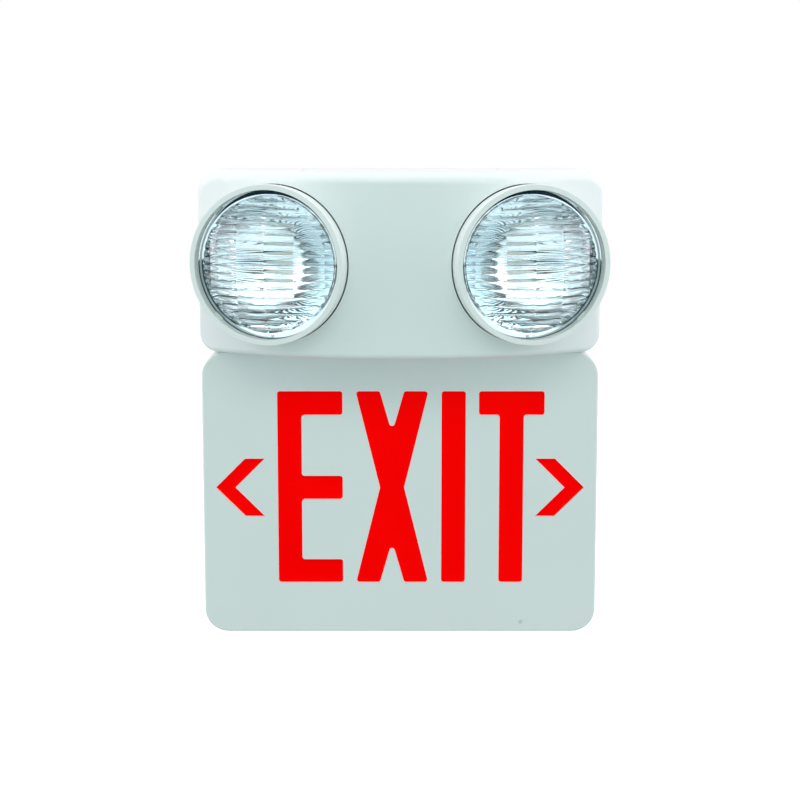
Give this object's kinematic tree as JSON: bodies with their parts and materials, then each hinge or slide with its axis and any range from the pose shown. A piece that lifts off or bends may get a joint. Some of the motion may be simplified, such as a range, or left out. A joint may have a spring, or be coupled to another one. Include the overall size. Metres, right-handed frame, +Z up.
{
  "type": "emergency exit light",
  "caption": "Wall-mounted exit sign with cut-out letters and chevrons under a bowed housing that carries aimable round emergency lamp heads.",
  "frame": {"origin": "centre of the supply entry hole on the back face of the back plate, in the plane of the wall", "axes": "+X to the viewer's right, +Y into the wall, +Z up"},
  "size_m": [0.3162, 0.0928, 0.365],
  "materials": {
    "white_plastic": "fine satin moulded ABS",
    "tray_white": "plain white moulding",
    "red_acrylic": "translucent red sheet",
    "circuit_board": "solder mask",
    "led_body": "clear resin over phosphor",
    "clear_lens": "clear fluted polycarbonate",
    "mirror_coat": "vacuum metallised plastic",
    "aluminium_sink": "plain",
    "steel_parts": "zinc plated",
    "core_steel": "varnished laminations",
    "coil_tape": "yellow winding tape",
    "black_plastic": "moulded cases",
    "battery_wrap": "heat-shrunk sleeve",
    "button_plastic": "moulded button",
    "pilot_lens": "clear light pipe"
  },
  "bodies": {
    "housing": {"back_plate": "white_plastic", "sign_face": "white_plastic", "upper_cover": "white_plastic", "red_diffuser": "red_acrylic", "light_tray": "tray_white", "upper_led_strip": "circuit_board", "lower_led_strip": "circuit_board", "sign_leds": "led_body", "control_board": "circuit_board", "transformer_core": "core_steel", "transformer_coil": "coil_tape", "transfer_relay": "black_plastic", "capacitors": "black_plastic", "wire_connector": "tray_white", "battery_pack": "battery_wrap", "battery_strap": "steel_parts", "board_screws": "steel_parts", "strap_screws": "steel_parts", "tray_screws": "steel_parts", "test_board": "circuit_board", "test_screws": "steel_parts", "test_switch": "black_plastic", "button_spring": "steel_parts", "pilot_light": "pilot_lens", "pilot_led": "led_body"},
    "left_swivel": {"left_swivel_stud": "steel_parts", "left_friction_cup": "tray_white", "left_wave_washer": "steel_parts", "left_lock_nut": "steel_parts"},
    "left_head": {"left_lamp_shell": "white_plastic", "left_lens": "clear_lens", "left_reflector": "mirror_coat", "left_led_board": "circuit_board", "left_led": "led_body", "left_heat_sink": "aluminium_sink", "left_lamp_screws": "steel_parts"},
    "right_swivel": {"right_swivel_stud": "steel_parts", "right_friction_cup": "tray_white", "right_wave_washer": "steel_parts", "right_lock_nut": "steel_parts"},
    "right_head": {"right_lamp_shell": "white_plastic", "right_lens": "clear_lens", "right_reflector": "mirror_coat", "right_led_board": "circuit_board", "right_led": "led_body", "right_heat_sink": "aluminium_sink", "right_lamp_screws": "steel_parts"},
    "test_button": {"test_button": "button_plastic"}
  },
  "joints": [
    {"name": "left_spin", "type": "hinge", "parent": "housing", "child": "left_swivel", "pos_m": [-0.099, -0.072, 0.1085], "axis": [-0.2588, -0.9659, 0], "range_deg": [-170, 170]},
    {"name": "left_tilt", "type": "hinge", "parent": "left_swivel", "child": "left_head", "pos_m": [-0.099, -0.072, 0.1085], "axis": [0.9659, -0.2588, 0], "range_deg": [-22, 22]},
    {"name": "right_spin", "type": "hinge", "parent": "housing", "child": "right_swivel", "pos_m": [0.099, -0.072, 0.1085], "axis": [0.2588, -0.9659, 0], "range_deg": [-170, 170]},
    {"name": "right_tilt", "type": "hinge", "parent": "right_swivel", "child": "right_head", "pos_m": [0.099, -0.072, 0.1085], "axis": [0.9659, 0.2588, 0], "range_deg": [-22, 22]},
    {"name": "button_press", "type": "slide", "parent": "housing", "child": "test_button", "axis": [0, 0, 1], "range_m": [0, 0.0016], "stiffness_N_per_m": 400, "springref_m": -0.0015, "deforming": ["button_spring"]}
  ]
}
